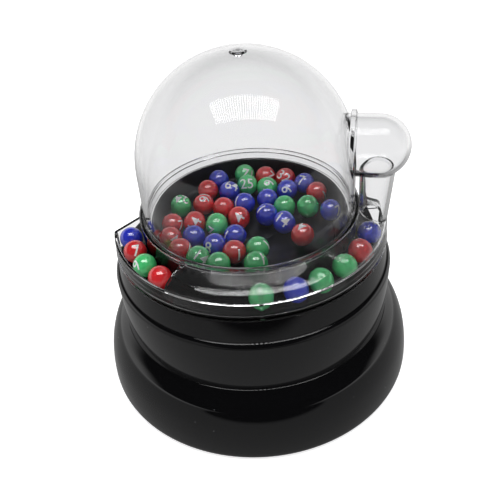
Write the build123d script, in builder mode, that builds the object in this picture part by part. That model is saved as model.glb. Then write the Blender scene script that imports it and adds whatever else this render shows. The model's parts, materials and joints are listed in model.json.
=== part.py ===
"""Battery-powered ball-drawing machine for a table.

A glossy black base holds cells, a motor and a gear train that turn a disc in a shallow
bowl under a clear dome. Balls leave the dome by a side nose, drop down a clear chute and
roll along a crescent-shaped clear tray. Millimetres, +Z up, origin on the ground under
the dome's centre, camera side towards -Y.
"""

import os
from math import acos, cos, degrees, hypot, radians, sin, sqrt

from build123d import *

os.makedirs("parts", exist_ok=True)

# ---------------------------------------------------------------- driving dimensions
ball_radius = 5.0
ball_gap = 0.04

# base
foot_bottom = 0.8
foot_radius = 73.6
foot_top = 33.3
foot_bore = 50.0
foot_roof = 31.1
drum_low_radius = 62.6
drum_high_radius = 63.4
drum_top = 58.2
drum_wall = 2.2
deck_top = 70.6
ledge_z = 60.2
crescent_foot_radius = 61.9
crescent_top_radius = 60.4
turret_radius = 48.4
crescent_start, crescent_end = 186.0, 352.0

# bowl and turntable
bowl_rim_z = 82.9
bowl_rim_radius = 44.1
shelf_z = 69.0
turntable_top = 73.0
turntable_radius = 38.0
ball_reach = 36.9
peg_ring, peg_radius, peg_height = 24.0, 1.6, 2.4
peg_azimuths = (35.0, 215.0)
shaft_radius = 2.0
running_gap = 0.04

# clear tray and cover
tray_floor = 72.0
tray_wall_top = 79.0
tray_wall_outer = 60.8
tray_wall_inner = 59.2
tray_rim_radius = 61.2
inner_wall_radius = 48.2
inner_wall_bore = 46.9
inner_wall_top = 84.8
tray_ball_radius = 53.6
tray_end = 359.4
roof_start, roof_end = 234.0, 358.0
seam_azimuth = 271.5

# dome, nose and chute
dome_radius = 46.5
dome_centre = 108.4
clear_wall = 1.5
lip_radius = 48.6
lip_top = 86.6
skirt_bottom = 82.0
nose_azimuth = -12.0
nose_z = 116.0
nose_radius = 12.8
nose_end = 55.3
port_radius = 11.3

# gears, module 0.8
module = 0.8
drive_teeth, idler_small_teeth, idler_big_teeth, pinion_teeth = 48, 12, 40, 10
plate_low, plate_top = 50.0, 52.0
idler_azimuth = 60.0
idler_reach = module * (drive_teeth + idler_small_teeth) / 2
motor_step = module * (idler_big_teeth + pinion_teeth) / 2
motor_reach = 34.0
post_radius_at = 42.0

# underside
cover_low, cover_top = 1.6, 4.6
cover_radius = 70.6
boss_ring = 59.0
boss_radius = 4.0
deck_ring = 55.0
screw_radius = 1.3
cover_screw_depth = 14.0
deck_screw_depth = 12.0
cell_length, cell_radius, cell_pitch = 50.5, 7.25, 15.0
cell_z = 12.2

# switch in the back of the drum
switch_z = 46.0
rocker_tilt = 8.0
rocker_pivot_y = 61.2


# ---------------------------------------------------------------- helpers
def polar(radius, azimuth, z=0.0):
    """Point at a radius and azimuth about the dome's axis."""
    return Vector(radius * cos(radians(azimuth)), radius * sin(radians(azimuth)), z)


def radial_plane(azimuth):
    """Upright plane through the axis: local x runs outwards, local y runs up."""
    a = radians(azimuth)
    return Plane((0, 0, 0), x_dir=(cos(a), sin(a), 0), z_dir=(sin(a), -cos(a), 0))


def turned(points, start=0.0, arc=360.0, mode=Mode.ADD):
    """Revolve a straight-sided (radius, z) outline about the axis."""
    with BuildSketch(radial_plane(start)) as section:
        with BuildLine():
            Polyline(*points, close=True)
        make_face()
    revolve(section.sketch, axis=Axis.Z, revolution_arc=arc, mode=mode)


def rod(x, y, low, high, radius, mode=Mode.ADD):
    """Upright cylinder between two heights."""
    with BuildSketch(Plane.XY.offset(low)) as disc:
        with Locations((x, y)):
            Circle(radius)
    extrude(disc.sketch, amount=high - low, mode=mode)


def block(x_range, y_range, z_range, mode=Mode.ADD):
    """Box between two corners, square to the axes."""
    with BuildSketch(Plane.XY.offset(z_range[0])) as base:
        with Locations(((x_range[0] + x_range[1]) / 2, (y_range[0] + y_range[1]) / 2)):
            Rectangle(x_range[1] - x_range[0], y_range[1] - y_range[0])
    extrude(base.sketch, amount=z_range[1] - z_range[0], mode=mode)


def gear_outline(centre, teeth, tooth_at):
    """Points of a straight-flanked gear with one tooth centred on an azimuth."""
    pitch = module * teeth / 2
    root, tip = pitch - 1.2 * module, pitch + 0.85 * module
    step = 360.0 / teeth
    points = []
    for k in range(teeth):
        middle = tooth_at + k * step
        for radius, share in ((root, -0.29), (tip, -0.11), (tip, 0.11), (root, 0.29)):
            corner = centre + polar(radius, middle + share * step)
            points.append((corner.X, corner.Y))
    return points


def gear(centre, teeth, tooth_at, low, high):
    """Add a gear between two heights."""
    with BuildSketch(Plane.XY.offset(low)) as outline:
        with BuildLine():
            Polyline(*gear_outline(centre, teeth, tooth_at), close=True)
        make_face()
    extrude(outline.sketch, amount=high - low)


def keep(builder, name):
    """Label a finished piece and write it out."""
    builder.part.label = name
    export_step(builder.part, f"parts/{name}.step")


# ---------------------------------------------------------------- foot
foot_belly = (foot_radius, 4.5)
foot_shoulder = (drum_low_radius, foot_top)
foot_lip_inner, foot_lip_outer = (71.2, foot_bottom), (72.4, foot_bottom)

with BuildPart() as foot_shell:
    with BuildSketch(radial_plane(0)):
        with BuildLine():
            Spline(foot_belly, (73.2, 11.0), (71.9, 18.5), (69.5, 25.2), (66.6, 29.9), foot_shoulder)
            Polyline(foot_shoulder, (foot_bore, foot_top), (foot_bore, foot_roof), (62.4, foot_roof))
            Spline((62.4, foot_roof), (66.9, 25.0), (69.6, 17.5), (70.9, 9.0), foot_lip_inner)
            Line(foot_lip_inner, foot_lip_outer)
            ThreePointArc(foot_lip_outer, (73.3, 1.9), foot_belly)
        make_face()
    revolve(axis=Axis.Z)
    with BuildSketch(Plane.XY.offset(cover_top)):
        with PolarLocations(boss_ring, 4, start_angle=45):
            Circle(boss_radius)
    extrude(amount=foot_roof - cover_top + 0.5)
    with BuildSketch(Plane.XY.offset(cover_top)):
        with PolarLocations(boss_ring, 4, start_angle=45):
            Circle(screw_radius)
    extrude(amount=cover_screw_depth, mode=Mode.SUBTRACT)
    with BuildSketch(Plane.XY.offset(foot_roof - 0.1)):
        with PolarLocations(deck_ring, 4, start_angle=22.5):
            Circle(screw_radius + 0.4)
    extrude(amount=3.0, mode=Mode.SUBTRACT)
keep(foot_shell, "foot_shell")

# ---------------------------------------------------------------- drum
with BuildPart() as drum_shell:
    turned([(drum_low_radius, foot_top), (drum_high_radius, drum_top),
            (drum_high_radius - drum_wall, drum_top), (drum_low_radius - drum_wall, foot_top)])
    turned([(drum_low_radius - 1.0, foot_top), (drum_low_radius - 1.0, foot_top + 2.0),
            (51.0, foot_top + 2.0), (51.0, foot_top)])
    with BuildSketch(Plane.XY.offset(foot_top)):
        with PolarLocations(deck_ring, 4, start_angle=22.5):
            Circle(3.5)
    extrude(amount=14.0)
    with BuildSketch(Plane.XY.offset(foot_top)):
        with PolarLocations(deck_ring, 4, start_angle=22.5):
            Circle(screw_radius)
    extrude(amount=deck_screw_depth, mode=Mode.SUBTRACT)
    block((-4.3, 4.3), (56.0, 66.0), (switch_z - 6.6, switch_z + 6.6), Mode.SUBTRACT)
    block((-5.4, 5.4), (62.4, 66.0), (switch_z - 7.7, switch_z + 7.7), Mode.SUBTRACT)
keep(drum_shell, "drum_shell")

with BuildPart() as deck_screws:
    with BuildSketch(Plane.XY.offset(foot_roof - 1.5)):
        with PolarLocations(deck_ring, 4, start_angle=22.5):
            Circle(2.8)
    extrude(amount=1.5)
    with BuildSketch(Plane.XY.offset(foot_roof)):
        with PolarLocations(deck_ring, 4, start_angle=22.5):
            Circle(screw_radius)
    extrude(amount=deck_screw_depth)
keep(deck_screws, "deck_screws")

# ---------------------------------------------------------------- upper deck
with BuildPart() as upper_deck:
    # ledge with its rounded edge, and the turret under the dome
    with BuildSketch(radial_plane(0)):
        with BuildLine():
            ThreePointArc((drum_high_radius, drum_top), (62.85, 59.6), (crescent_foot_radius, ledge_z))
            Polyline((crescent_foot_radius, ledge_z), (turret_radius, ledge_z), (turret_radius, deck_top),
                     (44.5, deck_top), (44.5, shelf_z), (37.0, shelf_z), (37.0, shelf_z - 2.0),
                     (46.4, shelf_z - 2.0), (46.4, drum_top), (drum_high_radius, drum_top))
        make_face()
    revolve(axis=Axis.Z)
    # locating skirt inside the drum
    turned([(60.8, drum_top + 0.5), (60.8, drum_top - 3.0), (59.2, drum_top - 3.0), (59.2, drum_top + 0.5)])
    # raised crescent that carries the tray
    turned([(crescent_foot_radius, ledge_z), (crescent_top_radius, deck_top),
            (turret_radius - 0.5, deck_top), (turret_radius - 0.5, ledge_z)],
           crescent_start, crescent_end - crescent_start)
    turned([(60.0, drum_top), (crescent_top_radius - 1.8, deck_top - 2.0),
            (turret_radius + 1.0, deck_top - 2.0), (turret_radius + 1.0, drum_top)],
           crescent_start + 2.0, crescent_end - crescent_start - 4.0, Mode.SUBTRACT)
    # three posts for the gear plate
    with BuildSketch(Plane.XY.offset(plate_top)):
        with PolarLocations(post_radius_at, 3):
            Circle(3.5)
    extrude(amount=shelf_z - 2.0 - plate_top)
    with BuildSketch(Plane.XY.offset(plate_top)):
        with PolarLocations(post_radius_at, 3):
            Circle(1.2)
    extrude(amount=8.0, mode=Mode.SUBTRACT)
keep(upper_deck, "upper_deck")

# ---------------------------------------------------------------- bowl and turntable
with BuildPart() as bowl:
    with BuildSketch(radial_plane(0)):
        with BuildLine():
            Polyline((4.0, shelf_z), (44.1, shelf_z), (bowl_rim_radius, bowl_rim_z - 0.5))
            ThreePointArc((bowl_rim_radius, bowl_rim_z - 0.5), (43.5, bowl_rim_z), (42.9, bowl_rim_z - 0.5))
            Line((42.9, bowl_rim_z - 0.5), (42.1, 74.4))
            ThreePointArc((42.1, 74.4), (41.5, 73.0), (40.2, 72.6))
            Polyline((40.2, 72.6), (38.5, 72.6), (38.5, 70.8), (4.0, 70.8), (4.0, shelf_z))
        make_face()
    revolve(axis=Axis.Z)
keep(bowl, "bowl")

with BuildPart() as turntable:
    turned([(0, turntable_top), (turntable_radius, turntable_top), (turntable_radius, 71.4),
            (7.0, 71.4), (7.0, 71.1), (0, 71.1)])
    rod(0, 0, 70.0, 72.2, shaft_radius, Mode.SUBTRACT)
    # two low pegs stir the balls
    for azimuth in peg_azimuths:
        peg = polar(peg_ring, azimuth)
        rod(peg.X, peg.Y, turntable_top, turntable_top + peg_height, peg_radius)
keep(turntable, "turntable")

with BuildPart() as drive_shaft:
    rod(0, 0, 47.0, 72.2, shaft_radius)
    turned([(shaft_radius - 0.4, 48.0), (shaft_radius + 1.0, 48.0),
            (shaft_radius + 1.0, 47.3), (shaft_radius - 0.4, 47.3)], mode=Mode.SUBTRACT)
keep(drive_shaft, "drive_shaft")

with BuildPart() as shaft_clip:
    turned([(shaft_radius - 0.4, 48.0), (4.0, 48.0), (4.0, 47.3), (shaft_radius - 0.4, 47.3)], 20, 320)
keep(shaft_clip, "shaft_clip")

with BuildPart() as upper_bush:
    turned([(shaft_radius + running_gap, 67.4), (6.0, 67.4), (6.0, shelf_z), (4.0, shelf_z),
            (4.0, 70.8), (shaft_radius + running_gap, 70.8)])
keep(upper_bush, "upper_bush")

with BuildPart() as lower_bush:
    turned([(shaft_radius + running_gap, 48.4), (4.0, 48.4), (4.0, plate_top), (5.6, plate_top),
            (5.6, 53.0), (shaft_radius + running_gap, 53.0)])
keep(lower_bush, "lower_bush")

# ---------------------------------------------------------------- gear train
idler_centre = polar(idler_reach, idler_azimuth)
turn = acos((motor_reach ** 2 - idler_reach ** 2 - motor_step ** 2) / (2 * idler_reach * motor_step))
motor_direction = idler_azimuth + degrees(turn)
motor_centre = idler_centre + polar(motor_step, motor_direction)

with BuildPart() as drive_gear:
    gear(Vector(0, 0, 0), drive_teeth, idler_azimuth, 54.0, 58.0)
    rod(0, 0, 53.4, 59.0, 5.0)
    for k in range(6):
        web = polar(11.5, 30 + 60 * k)
        rod(web.X, web.Y, 53.0, 59.0, 3.6, Mode.SUBTRACT)
    rod(0, 0, 53.0, 60.0, shaft_radius, Mode.SUBTRACT)
keep(drive_gear, "drive_gear")

with BuildPart() as idler_gear:
    half_tooth = 180.0 / idler_small_teeth
    gear(idler_centre, idler_small_teeth, idler_azimuth + 180 + half_tooth, 53.6, 59.2)
    gear(idler_centre, idler_big_teeth, motor_direction, 59.2, 62.2)
    rod(idler_centre.X, idler_centre.Y, 52.3, 53.6, 2.8)
    rod(idler_centre.X, idler_centre.Y, 52.0, 63.0, 1.5 + running_gap, Mode.SUBTRACT)
keep(idler_gear, "idler_gear")

with BuildPart() as idler_pin:
    rod(idler_centre.X, idler_centre.Y, plate_low, 63.0, 1.5)
    rod(idler_centre.X, idler_centre.Y, 63.0, 63.8, 2.6)
keep(idler_pin, "idler_pin")

with BuildPart() as motor_pinion:
    gear(motor_centre, pinion_teeth, motor_direction + 180 + 180.0 / pinion_teeth, 58.9, 62.5)
    rod(motor_centre.X, motor_centre.Y, 56.4, 58.9, 2.4)
    rod(motor_centre.X, motor_centre.Y, 56.0, 63.0, 1.0, Mode.SUBTRACT)
keep(motor_pinion, "motor_pinion")

with BuildPart() as motor_shaft:
    rod(motor_centre.X, motor_centre.Y, 50.4, 63.2, 1.0)
keep(motor_shaft, "motor_shaft")

with BuildPart() as motor:
    with BuildSketch(Plane.XY.offset(25.0)):
        with Locations((motor_centre.X, motor_centre.Y)):
            Circle(10.0)
            Rectangle(24.0, 15.0, mode=Mode.INTERSECT)
    extrude(amount=25.0)
    rod(motor_centre.X, motor_centre.Y, 22.6, 25.0, 3.2)
    rod(motor_centre.X, motor_centre.Y, 50.0, 51.4, 3.0)
    rod(motor_centre.X, motor_centre.Y, 50.2, 52.0, 1.0 + running_gap, Mode.SUBTRACT)
    for side in (-5.0, 5.0):
        block((motor_centre.X + side - 1.2, motor_centre.X + side + 1.2),
              (motor_centre.Y - 0.3, motor_centre.Y + 0.3), (20.8, 25.0))
keep(motor, "motor")

with BuildPart() as gear_plate:
    rod(0, 0, plate_low, plate_top, 46.0)
    with BuildSketch(Plane.XY.offset(plate_low)):
        with PolarLocations(post_radius_at, 3):
            Circle(1.5)
        with PolarLocations(28.0, 2, start_angle=200, angular_range=100):
            Circle(8.0)
        Circle(4.0)
        with Locations((idler_centre.X, idler_centre.Y)):
            Circle(1.5)
        with Locations((motor_centre.X, motor_centre.Y)):
            Circle(3.2)
            with GridLocations(16.0, 1.0, 2, 1):
                Circle(1.1)
    extrude(amount=plate_top - plate_low, mode=Mode.SUBTRACT)
keep(gear_plate, "gear_plate")

with BuildPart() as plate_screws:
    with BuildSketch(Plane.XY.offset(plate_low - 1.4)):
        with PolarLocations(post_radius_at, 3):
            Circle(2.6)
    extrude(amount=1.4)
    with BuildSketch(Plane.XY.offset(plate_low)):
        with PolarLocations(post_radius_at, 3):
            Circle(1.2)
    extrude(amount=8.0)
keep(plate_screws, "plate_screws")

with BuildPart() as motor_screws:
    for side in (-8.0, 8.0):
        rod(motor_centre.X + side, motor_centre.Y, plate_low, plate_top, 1.1)
        rod(motor_centre.X + side, motor_centre.Y, plate_top, plate_top + 1.2, 2.0)
keep(motor_screws, "motor_screws")

# ---------------------------------------------------------------- underside
with BuildPart() as bottom_cover:
    rod(0, 0, cover_low, cover_top, cover_radius)
    block((-27.0, 27.0), (-23.0, 23.0), (0, 6.0), Mode.SUBTRACT)
    block((-31.0, 41.0), (-26.0, 26.0), (0, 3.2), Mode.SUBTRACT)
    with BuildSketch(Plane.XY.offset(cover_low)):
        with PolarLocations(boss_ring, 4, start_angle=45):
            Circle(3.0)
    extrude(amount=1.4, mode=Mode.SUBTRACT)
    with BuildSketch(Plane.XY.offset(cover_low)):
        with PolarLocations(boss_ring, 4, start_angle=45):
            Circle(1.6)
    extrude(amount=4.0, mode=Mode.SUBTRACT)
keep(bottom_cover, "bottom_cover")

with BuildPart() as cover_screws:
    with BuildSketch(Plane.XY.offset(cover_low + 0.2)):
        with PolarLocations(boss_ring, 4, start_angle=45):
            Circle(2.7)
    extrude(amount=1.2)
    with BuildSketch(Plane.XY.offset(cover_low + 1.4)):
        with PolarLocations(boss_ring, 4, start_angle=45):
            Circle(screw_radius)
    extrude(amount=cover_screw_depth)
keep(cover_screws, "cover_screws")

with BuildPart() as rubber_feet:
    with BuildSketch():
        with PolarLocations(61.0, 4):
            Circle(5.5)
    extrude(amount=cover_low)
    chamfer(rubber_feet.edges().group_by(Axis.Z)[0], 0.4)
keep(rubber_feet, "rubber_feet")

with BuildPart() as battery_box:
    block((-29.0, 29.0), (-25.0, 25.0), (cover_top, 21.4))
    block((-27.0, 27.0), (-23.0, 23.0), (cover_top - 1.0, 19.8), Mode.SUBTRACT)
    for side in (-cell_pitch / 2, cell_pitch / 2):
        block((-27.0, 27.0), (side - 0.4, side + 0.4), (14.8, 20.0))
        with BuildSketch(Plane.YZ.offset(-27.0)):
            with Locations((side - cell_pitch / 2, cell_z), (side + cell_pitch / 2, cell_z)):
                Circle(cell_radius + 0.1)
        extrude(amount=54.0, mode=Mode.SUBTRACT)
keep(battery_box, "battery_box")

with BuildPart() as batteries:
    for row, way in ((-cell_pitch, 1), (0.0, -1), (cell_pitch, 1)):
        with BuildSketch(Plane.YZ.offset(-way * cell_length / 2)):
            with Locations((row, cell_z)):
                Circle(cell_radius)
        extrude(amount=way * (cell_length - 1.4))
        with BuildSketch(Plane.YZ.offset(way * (cell_length / 2 - 1.4))):
            with Locations((row, cell_z)):
                Circle(2.7)
        extrude(amount=way * 1.4)
keep(batteries, "batteries")

with BuildPart() as battery_contacts:
    for row in (-cell_pitch, 0.0, cell_pitch):
        for way in (-1, 1):
            x_range = sorted((way * 27.0, way * 26.6))
            block(x_range, (row - 5.0, row + 5.0), (6.4, 17.6))
            x_range = sorted((way * 26.6, way * cell_length / 2))
            block(x_range, (row - 2.4, row + 2.4), (cell_z - 2.4, cell_z + 2.4))
keep(battery_contacts, "battery_contacts")

with BuildPart() as battery_door:
    block((-30.6, 31.0), (-25.6, 25.6), (1.8, 3.2))
    for k in range(5):
        block((20.0 + 1.6 * k, 20.8 + 1.6 * k), (-9.0, 9.0), (1.4, 1.8))
keep(battery_door, "battery_door")

# ---------------------------------------------------------------- power switch
with BuildPart() as switch_body:
    block((-5.25, 5.25), (62.4, 64.0), (switch_z - 7.5, switch_z + 7.5))
    block((-4.2, 4.2), (51.4, 62.4), (switch_z - 6.5, switch_z + 6.5))
    block((-3.4, 3.4), (56.0, 66.0), (switch_z - 5.6, switch_z + 5.6), Mode.SUBTRACT)
    for z in (switch_z - 3.5, switch_z + 3.5):
        block((-2.4, 2.4), (45.4, 51.4), (z - 0.4, z + 0.4))
    with BuildSketch(Plane.YZ.offset(-4.0)):
        with Locations((rocker_pivot_y, switch_z)):
            Circle(0.8 + running_gap)
    extrude(amount=8.0, mode=Mode.SUBTRACT)
keep(switch_body, "switch_body")

with BuildPart() as switch_rocker:
    lean = radians(-rocker_tilt)
    pivot = Plane((-3.1, rocker_pivot_y, switch_z), x_dir=(0, cos(lean), sin(lean)), z_dir=(1, 0, 0))
    with BuildSketch(pivot):
        with BuildLine():
            Polyline((2.3, -4.9), (0.4, -5.1), (-2.6, -3.2), (-3.6, 0), (-2.6, 3.2), (0.4, 5.1), (2.3, 4.9))
            ThreePointArc((2.3, 4.9), (1.5, 0), (2.3, -4.9))
        make_face()
    extrude(amount=6.2)
    with BuildSketch(Plane.YZ.offset(-3.9)):
        with Locations((rocker_pivot_y, switch_z)):
            Circle(0.8)
    extrude(amount=7.8)
keep(switch_rocker, "switch_rocker")

# ---------------------------------------------------------------- clear tray
end_wall_inner = Vector(-47.0, 7.5)
end_wall_outer = Vector(-59.6, -5.1)
end_wall_middle = (end_wall_inner + end_wall_outer) * 0.5
end_wall_length = (end_wall_outer - end_wall_inner).length

with BuildPart() as tray:
    turned([(inner_wall_radius - 0.6, deck_top), (tray_rim_radius, deck_top), (tray_rim_radius, tray_floor),
            (tray_wall_outer, tray_floor + 0.3), (tray_wall_outer, tray_wall_top),
            (tray_wall_inner, tray_wall_top), (tray_wall_inner, tray_floor),
            (inner_wall_radius - 0.6, tray_floor)], 168.0, tray_end - 168.0)
    with BuildSketch(Plane.XY.offset(deck_top - 1.0)):
        with Locations((end_wall_middle.X - 14.5, end_wall_middle.Y + 14.5)):
            Rectangle(60.0, 40.0 + 1.5, rotation=45.0)
    extrude(amount=12.0, mode=Mode.SUBTRACT)
    with BuildSketch(Plane.XY.offset(deck_top)):
        with Locations((end_wall_middle.X, end_wall_middle.Y)):
            Rectangle(end_wall_length, 1.5, rotation=45.0)
    extrude(amount=tray_wall_top - deck_top)
    turned([(inner_wall_radius - 0.6, deck_top), (tray_wall_outer, deck_top),
            (tray_wall_outer, tray_wall_top), (inner_wall_radius - 0.6, tray_wall_top)],
           roof_end, tray_end - roof_end)
    turned([(inner_wall_bore, deck_top), (inner_wall_radius, deck_top),
            (inner_wall_radius, inner_wall_top), (inner_wall_bore, inner_wall_top)])
    turned([(inner_wall_bore, deck_top - 1.0), (40.0, deck_top - 1.0), (40.0, inner_wall_top + 1.0),
            (inner_wall_bore, inner_wall_top + 1.0)], mode=Mode.SUBTRACT)
    turned([(tray_wall_outer - 0.6, tray_floor), (tray_wall_outer + 0.7, tray_floor),
            (tray_wall_outer + 0.7, tray_wall_top), (tray_wall_outer - 0.6, tray_wall_top)],
           seam_azimuth - 0.8, 1.6)
keep(tray, "tray")


# ---------------------------------------------------------------- dome
def dome_outside(mode=Mode.ADD, radius=dome_radius, low=skirt_bottom):
    """Solid dome with its skirt, out to a radius."""
    slant = radius * sqrt(0.5)
    with BuildSketch(radial_plane(0)) as section:
        with BuildLine():
            Polyline((0, dome_centre + radius), (0, low), (radius, low), (radius, dome_centre))
            ThreePointArc((radius, dome_centre), (slant, dome_centre + slant), (0, dome_centre + radius))
        make_face()
    revolve(section.sketch, axis=Axis.Z, mode=mode)


nose_root = 30.0
nose_plane = Plane(polar(nose_root, nose_azimuth, nose_z), x_dir=(0, 0, 1), z_dir=polar(1.0, nose_azimuth))


def nose_outside(radius, end, mode=Mode.ADD):
    """Round-ended bar along the nose's axis."""
    reach = end - nose_root
    slant = radius * sqrt(0.5)
    side = Plane(nose_plane.origin, x_dir=nose_plane.z_dir, z_dir=radial_plane(nose_azimuth).z_dir)
    with BuildSketch(side) as section:
        with BuildLine():
            Polyline((reach + radius, 0), (0, 0), (0, radius), (reach, radius))
            ThreePointArc((reach, radius), (reach + slant, slant), (reach + radius, 0))
        make_face()
    revolve(section.sketch, axis=Axis(nose_plane.origin, nose_plane.z_dir), mode=mode)


with BuildPart() as dome:
    dome_outside()
    turned([(dome_radius - 0.5, inner_wall_top), (lip_radius, inner_wall_top), (lip_radius, lip_top - 0.4),
            (lip_radius - 0.4, lip_top), (dome_radius - 0.5, lip_top)])
    dome_outside(Mode.SUBTRACT, dome_radius - clear_wall, skirt_bottom - 1.0)
    with BuildSketch(nose_plane):
        Circle(port_radius)
    extrude(amount=30.0, mode=Mode.SUBTRACT)
    rod(0, 0, 150.0, 156.0, 1.8, Mode.SUBTRACT)
keep(dome, "dome")

with BuildPart() as apex_plug:
    turned([(0, 153.4), (3.5, 153.4), (3.5, 155.1), (2.9, 155.5), (0, 155.5)])
    dome_outside(Mode.SUBTRACT)
    rod(0, 0, 152.4, 155.0, 1.8)
keep(apex_plug, "apex_plug")


# ---------------------------------------------------------------- chute and nose
def chute_bar(thinner, low, high, mode=Mode.ADD):
    """Tapered upright bar of the drop chute; thinner by a wall for its bore."""
    lower = polar(54.4, nose_azimuth, low)
    upper = polar(55.4, nose_azimuth, high)
    tilt = (cos(radians(nose_azimuth)), sin(radians(nose_azimuth)), 0)
    with BuildSketch(Plane(lower, x_dir=tilt, z_dir=(0, 0, 1))) as foot:
        Ellipse(6.0 - thinner, 8.0 - thinner)
    with BuildSketch(Plane(upper, x_dir=tilt, z_dir=(0, 0, 1))) as head:
        Ellipse(7.8 - thinner, 7.9 - thinner)
    loft(foot.sketch + head.sketch, mode=mode)


# outer face of the roof's section: eave on the tray's wall, bend, and ridge at the dome's lip
roof_eave = (tray_wall_outer, tray_wall_top)
roof_bend = (54.0, 84.4)
roof_ridge = (lip_radius, 85.8)


def roof_bar(start, end, mode=Mode.ADD):
    """Solid under the outer face of the tray's roof."""
    with BuildSketch(radial_plane(start)) as section:
        with BuildLine():
            Polyline(roof_eave, (60.8, 76.0), (48.0, 76.0), (48.0, 85.8), roof_ridge, roof_bend)
            ThreePointArc(roof_bend, (59.0, 82.3), roof_eave)
        make_face()
    revolve(section.sketch, axis=Axis.Z, revolution_arc=end - start, mode=mode)


with BuildPart() as chute_roof:
    with BuildSketch(radial_plane(roof_start)):
        with BuildLine():
            Line((59.3, tray_wall_top), roof_eave)
            ThreePointArc(roof_eave, (59.0, 82.3), roof_bend)
            Polyline(roof_bend, roof_ridge, (lip_radius, 84.4), (53.6, 83.0))
            ThreePointArc((53.6, 83.0), (57.8, 81.3), (59.3, tray_wall_top))
        make_face()
    revolve(axis=Axis.Z, revolution_arc=tray_end - roof_start)
    turned([(lip_radius, tray_wall_top), (60.6, tray_wall_top), (59.0, 81.9), (53.8, 83.8),
            (lip_radius, 85.2)], roof_end, tray_end - roof_end)
    with BuildSketch(radial_plane(seam_azimuth - 0.8)):
        with BuildLine():
            Polyline((60.4, tray_wall_top), (61.5, tray_wall_top))
            ThreePointArc((61.5, tray_wall_top), (59.5, 82.8), (54.2, 85.0))
            Polyline((54.2, 85.0), (lip_radius, 86.4), (lip_radius, 85.0), (53.9, 83.8))
            ThreePointArc((53.9, 83.8), (58.4, 81.8), (60.4, tray_wall_top))
        make_face()
    revolve(axis=Axis.Z, revolution_arc=1.6)
    chute_bar(clear_wall, 79.0, 104.0, Mode.SUBTRACT)
keep(chute_roof, "chute_roof")

with BuildPart() as drop_chute:
    chute_bar(0.0, 79.0, 112.0)
    chute_bar(clear_wall, 78.0, 113.0, Mode.SUBTRACT)
    roof_bar(320.0, 370.0, Mode.SUBTRACT)
    nose_outside(nose_radius, nose_end, Mode.SUBTRACT)
    turned([(0, 76.0), (lip_radius, 76.0), (lip_radius, lip_top), (dome_radius, lip_top),
            (dome_radius, 120.0), (0, 120.0)], mode=Mode.SUBTRACT)
keep(drop_chute, "drop_chute")

with BuildPart() as nose_cap:
    nose_outside(nose_radius, nose_end)
    with BuildSketch(nose_plane.offset(13.6)):
        Circle(14.2)
    extrude(amount=2.4)
    nose_outside(nose_radius - clear_wall, nose_end, Mode.SUBTRACT)
    dome_outside(Mode.SUBTRACT)
    chute_bar(clear_wall, 78.0, 113.0, Mode.SUBTRACT)
keep(nose_cap, "nose_cap")

with BuildPart() as roof_pin:
    pin_place = polar(50.0, roof_start + 1.5)
    rod(pin_place.X, pin_place.Y, 84.0, 87.0, 1.1)
    roof_bar(roof_start - 5, roof_start + 10, Mode.SUBTRACT)
keep(roof_pin, "roof_pin")

# ---------------------------------------------------------------- balls
# Rough place of each ball in the dome, as read by eye: x, y and colour.
dome_balls = [
    (-14, 33, "blue"), (-19, 25, "red"), (-20, 12, "red"), (-6, 23, "blue"), (0, 35, "green"),
    (4, 25, "green"), (10, 33, "red"), (19, 29, "red"), (13, 23, "green"), (27, 26, "blue"),
    (22, 19, "blue"), (32, 17, "red"), (-2, 11, "blue"), (9, 13, "blue"), (8, 1, "blue"),
    (16, 6, "green"), (27, 5, "green"), (37, 1, "blue"), (15, -6, "blue"), (22, -16, "red"),
    (-32, 13, "green"), (-35, -1, "red"), (-25, -2, "red"), (-15, -4, "green"), (-13, 9, "red"),
    (-5, 0, "red"), (-7, -13, "blue"), (-34, -12, "red"), (-25, -11, "blue"), (-30, -20, "red"),
    (-17, -17, "blue"), (-23, -26, "green"), (-15, -31, "green"), (-8, -24, "red"),
    (2, -23, "green"), (1, -33, "green")]

# Azimuth of each ball in the tray: the group in the open end and the group under the roof.
open_end_balls = [(189.0, "blue"), (200.0, "red"), (212.0, "green"), (224.0, "red")]
roofed_balls = [(272.0, "green"), (287.0, "blue"), (299.0, "green"), (313.0, "green"),
                (326.0, "red"), (340.0, "blue")]


def settle(places):
    """Push apart balls that crowd each other, within the bowl's wall and off the pegs."""
    points = [[x, y] for x, y, colour in places]
    pegs = [polar(peg_ring, azimuth) for azimuth in peg_azimuths]
    apart = 2 * ball_radius + ball_gap
    for sweep in range(4000):
        for i, a in enumerate(points):
            for b in points[i + 1:]:
                gap = hypot(b[0] - a[0], b[1] - a[1])
                if gap < apart:
                    push = (apart - gap) * 0.51 / max(gap, 0.01)
                    step_x, step_y = (b[0] - a[0]) * push, (b[1] - a[1]) * push
                    a[0], a[1] = a[0] - step_x, a[1] - step_y
                    b[0], b[1] = b[0] + step_x, b[1] + step_y
            for peg in pegs:
                gap = hypot(a[0] - peg.X, a[1] - peg.Y)
                clear = sqrt(ball_radius ** 2 - (ball_radius - peg_height) ** 2) + peg_radius + 0.1
                if gap < clear:
                    a[0] += (a[0] - peg.X) * (clear / gap - 1)
                    a[1] += (a[1] - peg.Y) * (clear / gap - 1)
            reach = hypot(a[0], a[1])
            if reach > ball_reach:
                a[0], a[1] = a[0] * ball_reach / reach, a[1] * ball_reach / reach
    return points


def least_gap(points):
    """Smallest distance between two ball centres."""
    pairs = [(a, b) for i, a in enumerate(points) for b in points[i + 1:]]
    return min(hypot(a[0] - b[0], a[1] - b[1]) for a, b in pairs)


settled = settle(dome_balls)
print("least centre distance in the dome", round(least_gap(settled), 3))

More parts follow.
